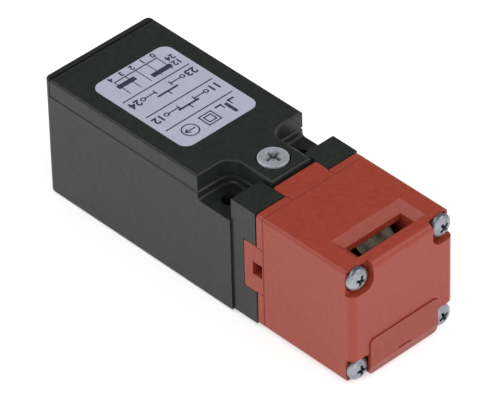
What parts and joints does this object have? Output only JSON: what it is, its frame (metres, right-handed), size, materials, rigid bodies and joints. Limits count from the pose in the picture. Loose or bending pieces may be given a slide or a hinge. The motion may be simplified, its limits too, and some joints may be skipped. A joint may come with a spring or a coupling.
{
  "type": "position limit switch",
  "caption": "Narrow key-operated safety position switch: black body with screw-down cover, cable entry and contact block, and a red interlock head with a cam wheel under its key slot.",
  "frame": {"origin": "midway between the two fixing holes, on the flat back face", "axes": "+X along the body to the interlock head, +Y across the body, +Z from the back face to the cover"},
  "size_m": [0.0919, 0.03, 0.0315],
  "materials": {
    "black_plastic": "fine-grained moulded glass-filled thermoplastic",
    "red_plastic": "fine-grained moulded glass-filled thermoplastic",
    "zinc_steel": "bright zinc plating on steel",
    "label_film": "pale grey printed film",
    "seal_rubber": "soft black rubber",
    "cam_metal": "dull die-cast and tumbled metal",
    "axle_steel": "ground steel",
    "block_plastic": "dark grey moulded plastic",
    "carriage_plastic": "natural acetal",
    "brass": "stamped brass",
    "contact_silver": "silver-plated contact strip",
    "spring_steel": "drawn spring wire"
  },
  "bodies": {
    "housing": {"housing_body": "black_plastic", "head_base": "red_plastic", "head_housing": "red_plastic", "head_screws": "zinc_steel", "head_gasket": "seal_rubber", "cam_axle": "axle_steel", "latch_spring_near": "spring_steel", "latch_spring_far": "spring_steel", "pushrod_guide": "brass", "pushrod_seal": "seal_rubber", "contact_block_base": "block_plastic", "contact_block_cap": "block_plastic", "opening_terminal_near": "brass", "opening_terminal_far": "brass", "closing_terminal_near": "brass", "closing_terminal_far": "brass", "terminal_screws": "zinc_steel", "clamp_plates": "zinc_steel", "return_spring": "spring_steel"},
    "cover": {"cover": "black_plastic", "cover_gasket": "seal_rubber", "cover_screw": "zinc_steel", "screw_retainer": "carriage_plastic", "label_plate": "label_film"},
    "cam_wheel": {"cam_wheel": "cam_metal"},
    "pushrod": {"pushrod": "carriage_plastic"},
    "carriage": {"contact_carriage": "carriage_plastic", "opening_bridge": "contact_silver", "closing_bridge": "contact_silver", "bridge_springs": "spring_steel"},
    "latch_near": {"key_latch_near": "carriage_plastic"},
    "latch_far": {"key_latch_far": "carriage_plastic"},
    "plug": {"slot_plug": "red_plastic"}
  },
  "joints": [
    {"name": "cover_hinge", "type": "hinge", "parent": "housing", "child": "cover", "pos_m": [-0.0501, 0, 0.03086], "axis": [0, -1, 0], "range_deg": [0, 85]},
    {"name": "cam_turn", "type": "hinge", "parent": "housing", "child": "cam_wheel", "pos_m": [0.02552, 0, 0.01547], "axis": [0, 1, 0], "range_deg": [0, 60]},
    {"name": "pushrod_slide", "type": "slide", "parent": "housing", "child": "pushrod", "axis": [1, 0, 0], "range_m": [0, 0.0036]},
    {"name": "carriage_slide", "type": "slide", "parent": "housing", "child": "carriage", "axis": [1, 0, 0], "range_m": [0, 0.0036], "deforming": ["return_spring"]},
    {"name": "key_latch_near_slide", "type": "slide", "parent": "housing", "child": "latch_near", "axis": [0, -1, 0], "range_m": [0, 0.002], "deforming": ["latch_spring_near"]},
    {"name": "key_latch_far_slide", "type": "slide", "parent": "housing", "child": "latch_far", "axis": [0, 1, 0], "range_m": [0, 0.002], "deforming": ["latch_spring_far"]},
    {"name": "plug_pull", "type": "slide", "parent": "housing", "child": "plug", "axis": [1, 0, 0], "range_m": [0, 0.008]}
  ],
  "couplings": [
    {"joint": "pushrod_slide", "follows": "cam_turn", "m_per_rad": 0.0034377},
    {"joint": "carriage_slide", "follows": "cam_turn", "m_per_rad": 0.0034377}
  ]
}
